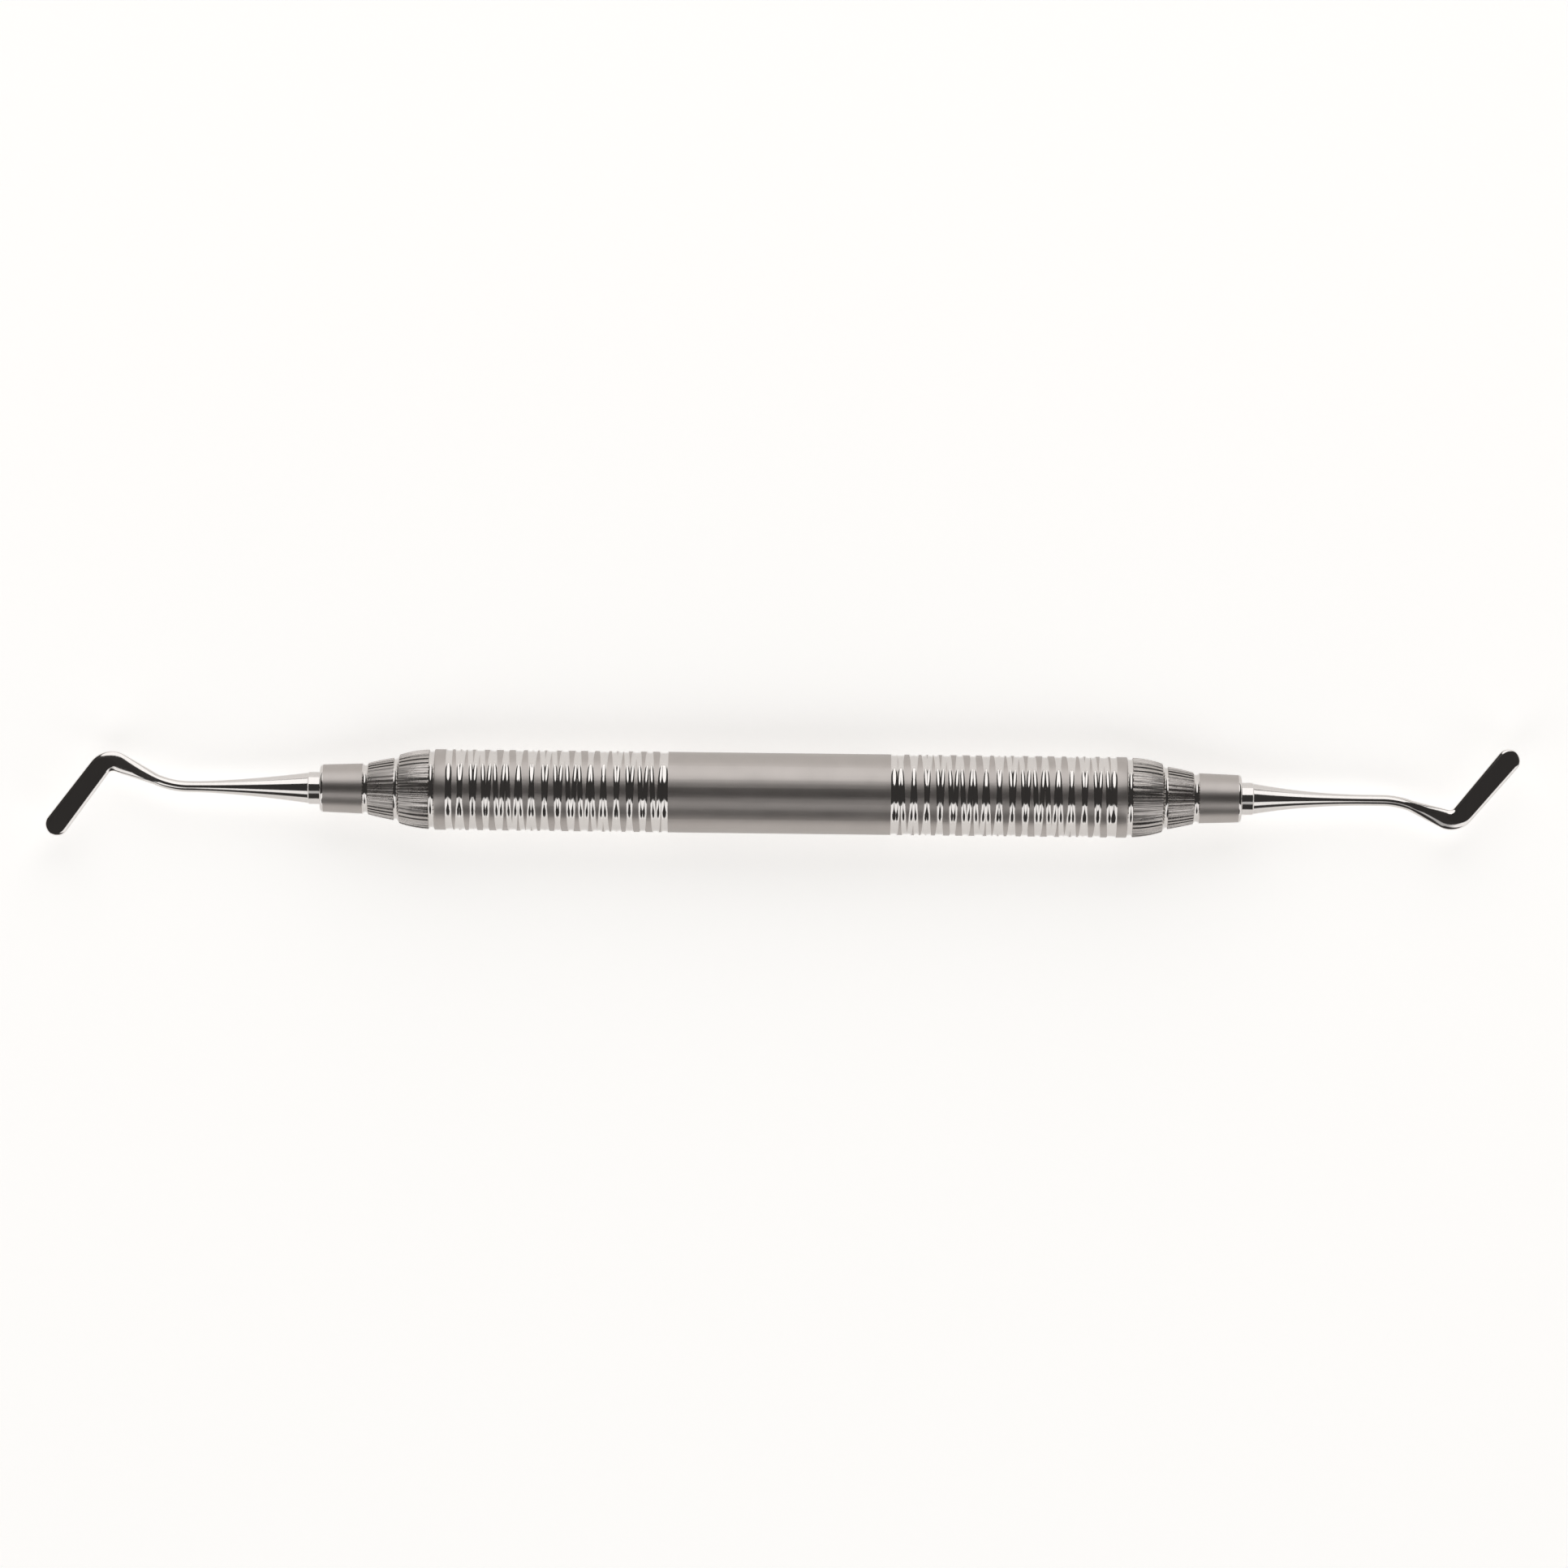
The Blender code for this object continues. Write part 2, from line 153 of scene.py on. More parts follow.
handling.links.new(given.outputs["Mark Scale"], marks.inputs["Scale"])
handling.links.new(given.outputs["Smear Scale"], smears.inputs["Scale"])
handling.links.new(marks.outputs["Fac"], result.inputs["Marks"])
handling.links.new(smears.outputs["Fac"], result.inputs["Smears"])


def placed(effect, material, values):
    """Place an effect in a material, with that material's own values."""
    node = material.node_tree.nodes.new("ShaderNodeGroup")
    node.node_tree = effect
    for name, value in values.items():
        node.inputs[name].default_value = value
    return node


def steel(name, dark, light, roughness, relief, handled, blasted=None):
    """Return one finish of steel, with its relief in metres and the scales of its marks and of its pits."""
    made = bpy.data.materials.new(name)
    made.use_nodes = True
    nodes, links = made.node_tree.nodes, made.node_tree.links
    shader = nodes["Principled BSDF"]
    shader.inputs["Metallic"].default_value = 1
    marked = placed(handling, made, handled)
    uneven, rough = marked.outputs["Marks"], marked.outputs["Marks"]
    if blasted:
        pitted = placed(blasting, made, blasted)
        uneven, rough = pitted.outputs["Patches"], pitted.outputs["Pits"]
    tone = nodes.new("ShaderNodeMix")
    tone.data_type = "RGBA"
    tone.inputs["A"].default_value = (*dark, 1)
    tone.inputs["B"].default_value = (*light, 1)
    gloss = nodes.new("ShaderNodeMapRange")
    gloss.inputs["From Min"].default_value, gloss.inputs["From Max"].default_value = SMEAR_RANGE
    gloss.inputs["To Min"].default_value, gloss.inputs["To Max"].default_value = roughness
    bump = nodes.new("ShaderNodeBump")
    bump.inputs["Distance"].default_value = relief
    links.new(uneven, tone.inputs["Factor"])
    links.new(tone.outputs["Result"], shader.inputs["Base Color"])
    links.new(marked.outputs["Smears"], gloss.inputs["Value"])
    links.new(gloss.outputs["Result"], shader.inputs["Roughness"])
    links.new(rough, bump.inputs["Height"])
    links.new(bump.outputs["Normal"], shader.inputs["Normal"])
    return made


def alone(piece):
    """Make a piece the only one that is selected, and the active one."""
    bpy.ops.object.select_all(action="DESELECT")
    piece.select_set(True)
    bpy.context.view_layer.objects.active = piece
    return piece


def cut(piece, cutter):
    """Cut a piece with a closed cutter. The cutter's finish stays on the faces that it leaves."""
    alone(piece)
    modifier = piece.modifiers.new("cut", "BOOLEAN")
    modifier.object = cutter
    modifier.solver = "MANIFOLD"
    bpy.ops.object.modifier_apply(modifier=modifier.name)
    bpy.data.objects.remove(cutter, do_unlink=True)


def finished_in(piece, finish, finishes):
    """Give a piece every finish that its node has, with all its faces in one of them."""
    for steel_finish in finishes:
        piece.data.materials.append(steel_finish)
    for face in piece.data.polygons:
        face.material_index = finish
    return piece


def smooth(piece):
    """Shade a piece smooth, with sharp edges at its corners and where one finish meets another."""
    finishes_beside = {}
    for face in piece.data.polygons:
        for edge in face.edge_keys:
            finishes_beside.setdefault(edge, set()).add(face.material_index)
    for edge in piece.data.edges:
        edge.use_edge_sharp = len(finishes_beside[edge.key]) > 1
    alone(piece)
    bpy.ops.object.shade_smooth_by_angle(angle=SMOOTH_ANGLE, keep_sharp_edges=True)


def helix_cutter(start, length, turns, start_turn):
    """Return what the round nose of the tool sweeps along one groove."""
    bpy.ops.mesh.primitive_circle_add(vertices=TOOL_SIDES, radius=tool_radius,
                                      location=(start, tube_radius - GROOVE_DEPTH + tool_radius, 0))
    cutter = bpy.context.object
    bpy.ops.object.transform_apply(location=True, rotation=False, scale=False)
    screw = cutter.modifiers.new("helix", "SCREW")
    screw.axis = "X"
    screw.angle = 2 * pi * turns
    screw.screw_offset = length
    screw.steps = screw.render_steps = round(TUBE_SIDES * abs(turns))
    bpy.ops.object.modifier_apply(modifier=screw.name)
    bpy.ops.object.mode_set(mode="EDIT")
    bpy.ops.mesh.select_all(action="SELECT")
    bpy.ops.mesh.fill_holes(sides=TOOL_SIDES)
    bpy.ops.mesh.select_all(action="SELECT")
    bpy.ops.mesh.normals_make_consistent(inside=False)
    bpy.ops.object.mode_set(mode="OBJECT")
    cutter.rotation_euler.x = 2 * pi * start_turn
    cutter.location = handle_middle
    bpy.ops.object.transform_apply(location=True, rotation=True, scale=False)
    return finished_in(cutter, BRIGHT, handle_finishes)


def ring_cutter(x):
    """Return the ring swept by the tool at one place along the tube."""
    bpy.ops.mesh.primitive_torus_add(major_segments=TUBE_SIDES, minor_segments=TOOL_SIDES,
                                     major_radius=tube_radius - GROOVE_DEPTH + tool_radius,
                                     minor_radius=tool_radius, rotation=(0, pi / 2, 0))
    cutter = bpy.context.object
    cutter.location = handle_middle + Vector((x, 0, 0))
    cutter.scale.z = RING_GROOVE_WIDTH / GROOVE_WIDTH
    bpy.ops.object.transform_apply(location=True, rotation=True, scale=True)
    return finished_in(cutter, BRIGHT, handle_finishes)


satin_steel = steel("satin_steel", SATIN_DARK, SATIN_LIGHT, SATIN_ROUGHNESS, SATIN_RELIEF,
                    {"Mark Scale": 1800, "Smear Scale": 180}, {"Pit Scale": 9000, "Patch Scale": 500})
polished_steel = steel("polished_steel", POLISHED_DARK, POLISHED_LIGHT, POLISHED_ROUGHNESS, POLISHED_RELIEF,
                       {"Mark Scale": 2600, "Smear Scale": 180})
handle_finishes = (satin_steel, polished_steel)

tube_radius = TUBE_DIAMETER / 2
tube_half = (tube_high.x - tube_low.x) / 2
tool_radius = (GROOVE_WIDTH ** 2 / 4 + GROOVE_DEPTH ** 2) / (2 * GROOVE_DEPTH)
bpy.ops.mesh.primitive_cylinder_add(vertices=TUBE_SIDES, radius=tube_radius, depth=2 * tube_half,
                                    location=handle_middle, rotation=(0, pi / 2, 0))
handle = bpy.context.object
handle.name = "grooved_handle"
bpy.ops.object.transform_apply(location=True, rotation=True, scale=True)
edges = handle.modifiers.new("turned_edges", "BEVEL")
edges.width = TUBE_EDGE
edges.segments = TUBE_EDGE_STEPS
edges.limit_method = "ANGLE"
edges.angle_limit = TUBE_CORNER
bpy.ops.object.modifier_apply(modifier=edges.name)
finished_in(handle, SATIN, handle_finishes)

# What is bored out of the tube is longer than the tube, so the bore is open at both ends.
bpy.ops.mesh.primitive_cylinder_add(vertices=TUBE_SIDES, radius=tube_radius - TUBE_WALL, depth=3 * tube_half,
                                    location=handle_middle, rotation=(0, pi / 2, 0))
bore = bpy.context.object
bpy.ops.object.transform_apply(location=True, rotation=True, scale=True)
cut(handle, finished_in(bore, SATIN, handle_finishes))

for first_ring, length, *helices in GRIPS.values():
    cut(handle, ring_cutter(first_ring))
    cut(handle, ring_cutter(first_ring + length))
    for pitch, start_turn in helices:
        cut(handle, helix_cutter(first_ring, length, length / pitch, start_turn))

smooth(handle)
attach(handle, "root")
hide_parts("handle_tube")

# End cones. Each is turned from solid steel bar, blasted, knurled in two steps and parted by bright grooves,
# then pressed into the tube by its spigot. The one for the left end is the same piece turned round.
SEAM_GROOVE_LENGTH = 0.0006
MIDDLE_GROOVE_LENGTH = 0.00055
NOSE_GROOVE_LENGTH = 0.00055
NOSE_LENGTH = 0.00515
NOSE_RADII = (0.002985, 0.002825)
NOSE_ROUNDING = 0.00038
BAND_EDGE = 0.00008
GROOVE_SAG = 0.00013
KNURL_RIDGES = 40
KNURL_DEPTH = 0.00016
KNURL_SHAPE = (0, 0.00002, 0.00014, KNURL_DEPTH, 0.00014, 0.00002)
SPIGOT_LENGTH = 0.007
SPIGOT_RADIUS = 0.00395
SPIGOT_LEAD_IN = 0.0005
SOCKET_RADIUS = 0.001975
SOCKET_DEPTH = 0.011
SOCKET_CHAMFER = 0.0003
CURVE_STEPS = 8
SAME_POINT = 0.000001

# Each knurled cone: its length, its radius where it starts and where it ends, and how far it swells between.
LARGE_KNURL = (0.00365, 0.00474, 0.0041, 0.00012)
SMALL_KNURL = (0.00315, 0.003725, 0.00309, 0.00003)

KNURLED_DARK = (0.37, 0.346, 0.33)
KNURLED_LIGHT = (0.52, 0.487, 0.465)
KNURLED_ROUGHNESS = (0.2, 0.34)
KNURLED_RELIEF = 0.000012

KNURLED = 2
knurled_steel = steel("knurled_steel", KNURLED_DARK, KNURLED_LIGHT, KNURLED_ROUGHNESS, KNURLED_RELIEF,
                      {"Mark Scale": 1800, "Smear Scale": 320}, {"Pit Scale": 6500, "Patch Scale": 1100})
cone_finishes = (satin_steel, polished_steel, knurled_steel)


def groove(length, first_radius, last_radius):
    """Add the hollow floor of one groove to the turned outline."""
    start = outline[-1][0]
    for step in range(CURVE_STEPS + 1):
        share = step / CURVE_STEPS
        fall = GROOVE_SAG * 4 * share * (1 - share)
        radius = first_radius + (last_radius - first_radius) * share - fall
        outline.append((start + length * share, radius, BRIGHT))


def knurled_band(length, first_radius, last_radius, bulge):
    """Add one knurled cone to the turned outline, with a small edge down to the bottom of the knurl."""
    start = outline[-1][0]
    outline.append((start, first_radius - KNURL_DEPTH, BRIGHT))
    for step in range(CURVE_STEPS + 1):
        share = step / CURVE_STEPS
        radius = first_radius + (last_radius - first_radius) * share + bulge * 4 * share * (1 - share)
        outline.append((start + BAND_EDGE + (length - 2 * BAND_EDGE) * share, radius, KNURLED))
    outline.append((start + length, last_radius - KNURL_DEPTH, KNURLED))


def swing_round(piece):
    """Turn a piece half round about the middle of the handle, to the other end of the instrument."""
    alone(piece)
    piece.rotation_euler.z = pi
    piece.location = (2 * handle_middle.x, 2 * handle_middle.y, 0)
    bpy.ops.object.transform_apply(location=True, rotation=True, scale=False)


# The outline starts at the inner end of the spigot. Each entry is a distance out from the end of the tube,
# a radius, and the finish of the band of metal that ends there.
outline = [(-SPIGOT_LENGTH, SPIGOT_RADIUS - SPIGOT_LEAD_IN, SATIN)]
outline.append((SPIGOT_LEAD_IN - SPIGOT_LENGTH, SPIGOT_RADIUS, SATIN))
outline.append((0, SPIGOT_RADIUS, SATIN))
groove(SEAM_GROOVE_LENGTH, tube_radius - TUBE_EDGE, LARGE_KNURL[1] - KNURL_DEPTH)
knurled_band(*LARGE_KNURL)
groove(MIDDLE_GROOVE_LENGTH, LARGE_KNURL[2] - KNURL_DEPTH, SMALL_KNURL[1] - KNURL_DEPTH)
knurled_band(*SMALL_KNURL)
groove(NOSE_GROOVE_LENGTH, SMALL_KNURL[2] - KNURL_DEPTH, NOSE_RADII[0] - BAND_EDGE)
nose_start = outline[-1][0]
nose_end = nose_start + NOSE_LENGTH
outline.append((nose_start + BAND_EDGE, NOSE_RADII[0], BRIGHT))
outline.append((nose_end - NOSE_ROUNDING, NOSE_RADII[1], SATIN))
for step in range(1, CURVE_STEPS + 1):
    lean = pi / 2 * step / CURVE_STEPS
    back, inwards = NOSE_ROUNDING * (1 - sin(lean)), NOSE_ROUNDING * (1 - cos(lean))
    outline.append((nose_end - back, NOSE_RADII[1] - inwards, BRIGHT))
outline.append((nose_end, SOCKET_RADIUS + SOCKET_CHAMFER, BRIGHT))
outline.append((nose_end - SOCKET_CHAMFER, SOCKET_RADIUS, BRIGHT))
outline.append((nose_end - SOCKET_DEPTH, SOCKET_RADIUS, SATIN))
tidy_outline = [outline[0]]
for entry in outline[1:]:
    if hypot(entry[0] - tidy_outline[-1][0], entry[1] - tidy_outline[-1][1]) > SAME_POINT:
        tidy_outline.append(entry)

cone_sides = KNURL_RIDGES * len(KNURL_SHAPE)
tube_end = handle_middle + Vector((tube_half, 0, 0))
bpy.ops.mesh.primitive_circle_add(vertices=cone_sides, radius=outline[0][1], fill_type="NGON",
                                  location=tube_end + Vector((outline[0][0], 0, 0)), rotation=(0, pi / 2, 0))
cone = bpy.context.object
cone.name = "knurled_cone_right"
bpy.ops.object.transform_apply(location=True, rotation=True, scale=True)
bpy.ops.object.mode_set(mode="EDIT")
bpy.ops.mesh.select_all(action="SELECT")
for (last_x, last_radius, _), (x, radius, _) in zip(tidy_outline, tidy_outline[1:]):
    bpy.ops.mesh.extrude_region_move(TRANSFORM_OT_translate={"value": (x - last_x, 0, 0)})
    bpy.ops.transform.resize(value=(1, radius / last_radius, radius / last_radius),
                             center_override=tube_end + Vector((x, 0, 0)))
bpy.ops.object.mode_set(mode="OBJECT")

cone.data.materials.clear()
finished_in(cone, SATIN, cone_finishes)
for face in cone.data.polygons[1:-1]:
    middle_x = face.center.x - tube_end.x
    middle_radius = hypot(face.center.y - tube_end.y, face.center.z - tube_end.z)
    beside = []
    for (last_x, last_radius, _), (x, radius, finish) in zip(tidy_outline, tidy_outline[1:]):
        away = hypot((x + last_x) / 2 - middle_x, (radius + last_radius) / 2 - middle_radius)
        beside.append((away, finish))
    face.material_index = min(beside)[1]

# The knurl is rolled into both cones: each ridge keeps its crest, and the points beside it are pushed in.
small_start = SEAM_GROOVE_LENGTH + LARGE_KNURL[0] + MIDDLE_GROOVE_LENGTH
knurls = ((SEAM_GROOVE_LENGTH, *LARGE_KNURL), (small_start, *SMALL_KNURL))
for band_start, length, first_radius, last_radius, _ in knurls:
    for number, depth in enumerate(KNURL_SHAPE):
        bpy.ops.object.mode_set(mode="EDIT")
        bpy.ops.mesh.select_mode(type="VERT")
        bpy.ops.mesh.select_all(action="DESELECT")
        bpy.ops.object.mode_set(mode="OBJECT")
        for vertex in cone.data.vertices:
            out = vertex.co - tube_end
            in_band = band_start + BAND_EDGE / 2 < out.x < band_start + length - BAND_EDGE / 2
            spoke = round(atan2(out.z, out.y) / (2 * pi) * cone_sides)
            on_surface = hypot(out.y, out.z) > last_radius - depth
            vertex.select = in_band and on_surface and spoke % len(KNURL_SHAPE) == number
        bpy.ops.object.mode_set(mode="EDIT")
        pushed_in = 1 - 2 * depth / (first_radius + last_radius)
        bpy.ops.transform.resize(value=(1, pushed_in, pushed_in), center_override=tube_end)
        bpy.ops.object.mode_set(mode="OBJECT")

smooth(cone)
bpy.ops.object.duplicate()
other_cone = bpy.context.object
other_cone.name = "knurled_cone_left"
swing_round(other_cone)
for piece, node in ((cone, "end_cone_right"), (other_cone, "end_cone_left")):
    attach(piece, "root")
    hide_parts(node)

# Spatulas. Each is drawn from one steel rod: a tang brazed into its cone, a flare, a thin round shank bent
# by hand, and a neck forged flat round the elbow. Its blade is ground last, and all of it is polished.
TANG_RADIUS = 0.001925
TANG_END = -0.0107
TANG_LEAD_IN = 0.0004
COLLAR_LENGTH = 0.0013
COLLAR_EDGE = 0.00012
FLARE_RADIUS = 0.00181
FLARE_END = 0.0150
FLARE_SPACING = 1.3
SHANK_RADIUS = 0.00065
SHANK_BEND_RADIUS = 0.010
ELBOW_RADIUS = 0.0019
ELBOW_WIDTH = 0.0023
BLADE_ROOT_WIDTH = 0.0025
BLADE_TIP_WIDTH = 0.00275
ELBOW_THICKNESS = 0.0008
FORGED_THICKNESS = 0.00085
BLADE_THICKNESS = 0.00055
TIP_TAPER = 0.35
TIP_TURN = radians(89)
GRINDING_WHEEL_RADIUS = 0.018
GRINDING_WHEEL_STEPS = 64
GRINDING_RUN_OUT = 0.0023
GRINDING_LEAN = 75
GRINDING_LENGTH = 0.018
GRINDING_WIDTH = 0.018
GRINDING_HEIGHT = 0.0198
SPATULA_SIDES = 72
FLARE_STEPS = 32
BEND_STEPS = 24
NECK_STEPS = 24
ELBOW_STEPS = 32
TIP_STEPS = 15
PATH_STEP = 0.0001

# Each end's own shape: how its flare falls away, how far out and to the side its elbow is, its neck and
# blade angles in degrees, and how long its blade is beyond the elbow.
ENDS = {
    "left": (1.5, 0.0254, 0.00334, 23.5, 53.6, 0.0113),
    "right": (2.0, 0.0255, 0.00258, 20.3, 50.0, 0.0111),
}
GROUND_DARK = (0.55, 0.525, 0.507)
GROUND_LIGHT = (0.6, 0.573, 0.553)
GROUND_ROUGHNESS = (0.1, 0.14)
GROUND_RELIEF = 0.0000006

POLISHED = 0
GROUND = 1
ground_steel = steel("ground_steel", GROUND_DARK, GROUND_LIGHT, GROUND_ROUGHNESS, GROUND_RELIEF,
                     {"Mark Scale": 3400, "Smear Scale": 240})
spatula_finishes = (polished_steel, ground_steel)


def stretch_to(x, width, thickness):
    """Draw the open end of the blank out to a distance along it, at a new half width and half thickness."""
    last_x, last_width, last_thickness = drawn[-1]
    bpy.ops.mesh.extrude_region_move(TRANSFORM_OT_translate={"value": (x - last_x, 0, 0)})
    bpy.ops.transform.resize(value=(1, width / last_width, thickness / last_thickness),
                             center_override=(x, 0, 0))
    drawn.append((x, width, thickness))


def grinding_cutter(corner, heading, above):
    """Return the metal that one pass of the wheel takes off a face, from where it runs in past the tip."""
    bpy.ops.mesh.primitive_cube_add(size=1)
    cutter = bpy.context.object
    cutter.scale = (GRINDING_WHEEL_RADIUS + GRINDING_LENGTH, GRINDING_WIDTH, GRINDING_HEIGHT)
    cutter.location = ((GRINDING_LENGTH - GRINDING_WHEEL_RADIUS) / 2 + GRINDING_RUN_OUT, 0,
                       (BLADE_THICKNESS + GRINDING_HEIGHT) / 2)
    bpy.ops.object.transform_apply(location=True, rotation=False, scale=True)
    bpy.ops.object.mode_set(mode="EDIT")
    bpy.ops.mesh.select_all(action="DESELECT")
    bpy.ops.object.mode_set(mode="OBJECT")
    for edge in cutter.data.edges:
        ends = [cutter.data.vertices[index].co for index in edge.vertices]
        edge.select = all(end.x < GRINDING_RUN_OUT and end.z < BLADE_THICKNESS for end in ends)
    bpy.ops.object.mode_set(mode="EDIT")
    bpy.ops.mesh.select_mode(type="EDGE")
    bpy.ops.mesh.bevel(offset=GRINDING_WHEEL_RADIUS, segments=GRINDING_WHEEL_STEPS, affect="EDGES")
    bpy.ops.object.mode_set(mode="OBJECT")
    cutter.rotation_euler = (0 if above else pi, 0, heading)
    cutter.location = corner
    bpy.ops.object.transform_apply(location=True, rotation=True, scale=False)
    return finished_in(cutter, GROUND, spatula_finishes)


for side, (flare_power, elbow_reach, elbow_offset, neck_angle, blade_angle, blade_length) in ENDS.items():
    neck, blade = radians(neck_angle), radians(blade_angle)
    shank_tangent = SHANK_BEND_RADIUS * tan(neck / 2)
    elbow_tangent = ELBOW_RADIUS * tan((neck + blade) / 2)
    bend_start = elbow_reach - elbow_offset / tan(neck) - shank_tangent
    bend_end = bend_start + SHANK_BEND_RADIUS * neck
    elbow_start = bend_end + elbow_offset / sin(neck) - shank_tangent - elbow_tangent
    elbow_end = elbow_start + ELBOW_RADIUS * (neck + blade)
    blade_end = elbow_end + blade_length - elbow_tangent

    # The straight blank, from the inner end of its tang
    bpy.ops.mesh.primitive_circle_add(vertices=SPATULA_SIDES, radius=TANG_RADIUS - TANG_LEAD_IN,
                                      fill_type="NGON", location=(TANG_END, 0, 0), rotation=(0, pi / 2, 0))
    spatula = bpy.context.object
    spatula.name = "bent_spatula_" + side
    bpy.ops.object.transform_apply(location=True, rotation=True, scale=True)
    drawn = [(TANG_END, TANG_RADIUS - TANG_LEAD_IN, TANG_RADIUS - TANG_LEAD_IN)]
    bpy.ops.object.mode_set(mode="EDIT")
    bpy.ops.mesh.select_all(action="SELECT")
    stretch_to(TANG_END + TANG_LEAD_IN, TANG_RADIUS, TANG_RADIUS)
    stretch_to(0, TANG_RADIUS, TANG_RADIUS)
    stretch_to(COLLAR_LENGTH, TANG_RADIUS, TANG_RADIUS)
    flare_start = COLLAR_LENGTH + COLLAR_EDGE
    for step in range(FLARE_STEPS + 1):
        share = (step / FLARE_STEPS) ** FLARE_SPACING
        radius = SHANK_RADIUS + (FLARE_RADIUS - SHANK_RADIUS) * (1 - share) ** flare_power
        stretch_to(flare_start + (FLARE_END - flare_start) * share, radius, radius)
    for step in range(BEND_STEPS + 1):
        x = bend_start + (bend_end - bend_start) * step / BEND_STEPS
        if x > FLARE_END:
            stretch_to(x, SHANK_RADIUS, SHANK_RADIUS)
    for step in range(1, NECK_STEPS + 1):
        share = step / NECK_STEPS
        eased = share * share * (3 - 2 * share)
        stretch_to(bend_end + (elbow_start - bend_end) * share,
                   SHANK_RADIUS + (ELBOW_WIDTH / 2 - SHANK_RADIUS) * share,
                   SHANK_RADIUS + (ELBOW_THICKNESS / 2 - SHANK_RADIUS) * eased)
    for step in range(1, ELBOW_STEPS + 1):
        share = step / ELBOW_STEPS
        stretch_to(elbow_start + (elbow_end - elbow_start) * share,
                   (ELBOW_WIDTH + (BLADE_ROOT_WIDTH - ELBOW_WIDTH) * share) / 2,
                   (ELBOW_THICKNESS + (FORGED_THICKNESS - ELBOW_THICKNESS) * share ** 2) / 2)
    for step in range(TIP_STEPS + 1):
        turn = TIP_TURN * step / TIP_STEPS
        stretch_to(blade_end - BLADE_TIP_WIDTH / 2 * (1 - sin(turn)), BLADE_TIP_WIDTH / 2 * cos(turn),
                   FORGED_THICKNESS / 2 * cos(turn) ** TIP_TAPER)
    bpy.ops.object.mode_set(mode="OBJECT")

    # The line that the blank is bent along, from the same inner end
    reach, offset, distance = TANG_END, 0.0, TANG_END
    bend = bpy.data.curves.new("bend", "CURVE")
    line = bend.splines.new("POLY")
    steps = round((blade_end - TANG_END) / PATH_STEP)
    line.points.add(steps)
    for point in line.points:
        point.co = (tube_end.x + nose_end + reach, tube_end.y - offset, tube_end.z, 1)
        halfway = distance + PATH_STEP / 2
        shank_turn = min(max((halfway - bend_start) / SHANK_BEND_RADIUS, 0), neck)
        elbow_turn = min(max((halfway - elbow_start) / ELBOW_RADIUS, 0), neck + blade)
        reach += PATH_STEP * cos(shank_turn - elbow_turn)
        offset += PATH_STEP * sin(shank_turn - elbow_turn)
        distance += PATH_STEP
        if distance < elbow_start + PATH_STEP:
            run_in = (tube_end.x + nose_end + reach, tube_end.y - offset, tube_end.z)
    path = bpy.data.objects.new("bend", bend)
    bpy.context.collection.objects.link(path)
    for vertex in spatula.data.vertices:
        vertex.co.x -= TANG_END
    alone(spatula)
    bent = spatula.modifiers.new("bent", "CURVE")
    bent.object = path
    bent.deform_axis = "POS_X"
    bpy.ops.object.modifier_apply(modifier=bent.name)
    bpy.data.objects.remove(path, do_unlink=True)

    finished_in(spatula, POLISHED, spatula_finishes)
    wheel_heading = radians(GRINDING_LEAN) - neck
    cut(spatula, grinding_cutter(run_in, wheel_heading, True))
    cut(spatula, grinding_cutter(run_in, wheel_heading, False))
    smooth(spatula)
    if side == "left":
        swing_round(spatula)
    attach(spatula, "root")
    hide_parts("spatula_" + side)

# Floor. It is a sheet of white paper just under the instrument, and stays white to the camera and in the
# steel, while it still takes the instrument's shadow.
FLOOR_SIZE = 8
FLOOR_DROP = 0.0001
PAPER_COLOUR = (0.9, 0.89, 0.875)
PAPER_ROUGHNESS = 0.9
PALE = (1, 0.985, 0.965)
PAPER_GLOW = 0.6

bpy.ops.mesh.primitive_plane_add(size=FLOOR_SIZE, location=(0, 0, -FLOOR_DROP))
floor = bpy.context.object
floor.name = "floor"
paper = bpy.data.materials.new("white_paper")
paper.use_nodes = True
nodes, links = paper.node_tree.nodes, paper.node_tree.links
nodes["Principled BSDF"].inputs["Base Color"].default_value = (*PAPER_COLOUR, 1)
nodes["Principled BSDF"].inputs["Roughness"].default_value = PAPER_ROUGHNESS
glow = nodes.new("ShaderNodeEmission")
glow.inputs["Color"].default_value = (*PALE, 1)
seen = nodes.new("ShaderNodeLightPath")
either = nodes.new("ShaderNodeMath")
either.operation = "MAXIMUM"
links.new(seen.outputs["Is Camera Ray"], either.inputs[0])
links.new(seen.outputs["Is Glossy Ray"], either.inputs[1])
strength = nodes.new("ShaderNodeMath")
strength.operation = "MULTIPLY"
strength.inputs[1].default_value = PAPER_GLOW
links.new(either.outputs[0], strength.inputs[0])
links.new(strength.outputs[0], glow.inputs["Strength"])
both = nodes.new("ShaderNodeAddShader")
links.new(nodes["Principled BSDF"].outputs[0], both.inputs[0])
links.new(glow.outputs[0], both.inputs[1])
links.new(both.outputs[0], nodes["Material Output"].inputs["Surface"])
floor.data.materials.append(paper)

# Light. A large oval softbox is on the far side of the instrument. On the near side is a pointed frame of
# light, brighter out to its ends, which draws the bright arches in the grooves.
LIGHT_DISTANCE = 1.2

# The softbox runs between two angles down from straight above, and the frame's middle is at another. All
# angles are in degrees, and the spreads, the height and the core's are seen out from the light's own middle.
SOFTBOX_ANGLES = (28, 83)
SOFTBOX_HALF_SPREAD = 28
SOFTBOX_RADIANCE = 1.5
ARCH_ANGLE = 62
ARCH_HALF_SPREAD = 70
ARCH_HALF_HEIGHT = 42

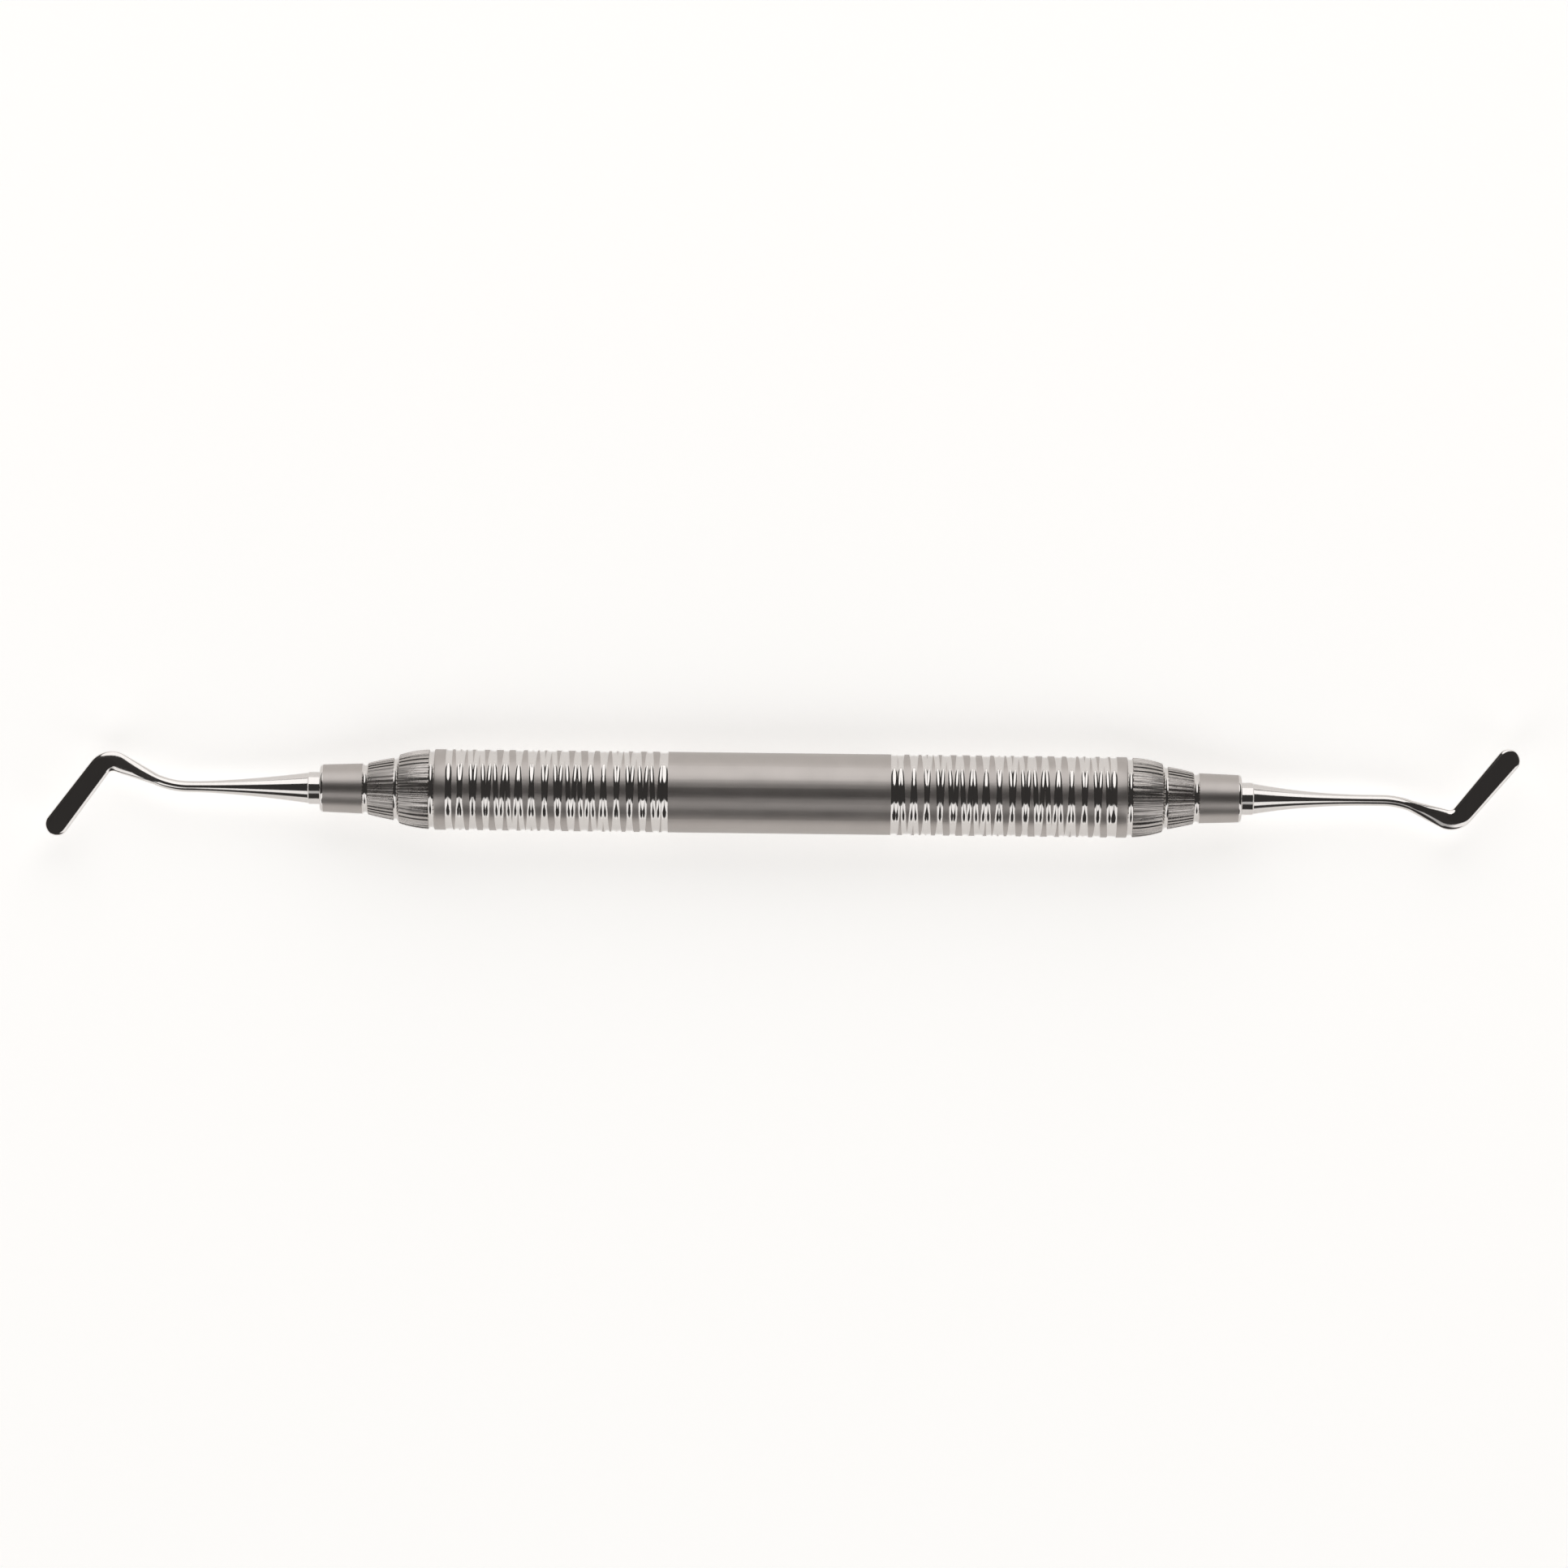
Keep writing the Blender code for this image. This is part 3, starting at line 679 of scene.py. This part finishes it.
# The frame's open core has these shares of its width and height, and shrinks to a point below its middle.
# The frame brightens from one radiance to the other between two distances out from its middle, in metres.
ARCH_CORE = (0.25, 0.72)
ARCH_CORE_ANGLE = -24
ARCH_RADIANCE = (0.6, 1.3)
ARCH_BRIGHTENS = (0.12, 0.32)

softbox_turn = radians(sum(SOFTBOX_ANGLES)) / 2
softbox_place = LIGHT_DISTANCE * Vector((0, sin(softbox_turn), cos(softbox_turn)))
bpy.ops.object.light_add(type="AREA", rotation=(-softbox_turn, 0, 0), location=softbox_place)
softbox = bpy.context.object
softbox.name = "large_softbox"
softbox.data.shape = "ELLIPSE"
softbox.data.size = 2 * LIGHT_DISTANCE * tan(radians(SOFTBOX_HALF_SPREAD))
softbox.data.size_y = 2 * LIGHT_DISTANCE * tan(radians(SOFTBOX_ANGLES[1] - SOFTBOX_ANGLES[0]) / 2)
oval_area = pi / 4 * softbox.data.size * softbox.data.size_y
softbox.data.energy = SOFTBOX_RADIANCE * pi * oval_area
softbox.visible_camera = False

arch_turn = radians(ARCH_ANGLE)
bpy.ops.mesh.primitive_circle_add(vertices=4, radius=LIGHT_DISTANCE, fill_type="NOTHING")
arch = bpy.context.object
arch.name = "arched_light"
bpy.ops.object.mode_set(mode="EDIT")
bpy.ops.mesh.select_all(action="SELECT")
bpy.ops.transform.resize(value=(tan(radians(ARCH_HALF_SPREAD)), tan(radians(ARCH_HALF_HEIGHT)), 1),
                         center_override=(0, 0, 0))
bpy.ops.mesh.extrude_region_move()
bpy.ops.transform.resize(value=(*ARCH_CORE, 1),
                         center_override=(0, LIGHT_DISTANCE * tan(radians(ARCH_CORE_ANGLE)), 0))
bpy.ops.object.mode_set(mode="OBJECT")
arch.rotation_euler.x = arch_turn
arch.location = (0, -LIGHT_DISTANCE * sin(arch_turn), LIGHT_DISTANCE * cos(arch_turn))
bpy.ops.object.transform_apply(location=True, rotation=True, scale=False)
lit = bpy.data.materials.new("arched_light")
lit.use_nodes = True
nodes, links = lit.node_tree.nodes, lit.node_tree.links
glow = nodes.new("ShaderNodeEmission")
place = nodes.new("ShaderNodeTexCoord")
parts = nodes.new("ShaderNodeSeparateXYZ")
links.new(place.outputs["Object"], parts.inputs["Vector"])
off_middle = nodes.new("ShaderNodeMath")
off_middle.operation = "ABSOLUTE"
links.new(parts.outputs["X"], off_middle.inputs[0])
brighter = nodes.new("ShaderNodeMapRange")
brighter.inputs["From Min"].default_value, brighter.inputs["From Max"].default_value = ARCH_BRIGHTENS
brighter.inputs["To Min"].default_value, brighter.inputs["To Max"].default_value = ARCH_RADIANCE
links.new(off_middle.outputs[0], brighter.inputs["Value"])
links.new(brighter.outputs["Result"], glow.inputs["Strength"])
links.new(glow.outputs[0], nodes["Material Output"].inputs["Surface"])
arch.data.materials.append(lit)
arch.visible_camera = False

# Studio. It is dark all round, but for a pale sweep of paper that stands low down in front and behind. It
# is white to the camera, as the floor is.
STUDIO_DARK = (0.045, 0.043, 0.042)

# The sweep fades in between two heights, and between two reaches to the front or back, on a direction of
# length 1.
SWEEP_RISE = (0.17, 0.11)
SWEEP_ACROSS = (0.75, 0.85)

world = bpy.data.worlds.new("studio")
bpy.context.scene.world = world
world.use_nodes = True
nodes, links = world.node_tree.nodes, world.node_tree.links
direction = nodes.new("ShaderNodeTexCoord")
parts = nodes.new("ShaderNodeSeparateXYZ")
links.new(direction.outputs["Generated"], parts.inputs["Vector"])
low_down = nodes.new("ShaderNodeMapRange")
low_down.inputs["From Min"].default_value, low_down.inputs["From Max"].default_value = SWEEP_RISE
links.new(parts.outputs["Z"], low_down.inputs["Value"])
across = nodes.new("ShaderNodeMath")
across.operation = "ABSOLUTE"
links.new(parts.outputs["Y"], across.inputs[0])
in_line = nodes.new("ShaderNodeMapRange")
in_line.inputs["From Min"].default_value, in_line.inputs["From Max"].default_value = SWEEP_ACROSS
links.new(across.outputs[0], in_line.inputs["Value"])
sweep = nodes.new("ShaderNodeMath")
sweep.operation = "MULTIPLY"
links.new(low_down.outputs["Result"], sweep.inputs[0])
links.new(in_line.outputs["Result"], sweep.inputs[1])
seen = nodes.new("ShaderNodeLightPath")
pale = nodes.new("ShaderNodeMath")
pale.operation = "MAXIMUM"
links.new(sweep.outputs[0], pale.inputs[0])
links.new(seen.outputs["Is Camera Ray"], pale.inputs[1])
shade = nodes.new("ShaderNodeMix")
shade.data_type = "RGBA"
shade.inputs["A"].default_value = (*STUDIO_DARK, 1)
shade.inputs["B"].default_value = (*PALE, 1)
links.new(pale.outputs[0], shade.inputs["Factor"])
links.new(shade.outputs["Result"], nodes["Background"].inputs["Color"])

bpy.context.scene.view_settings.view_transform = "Standard"
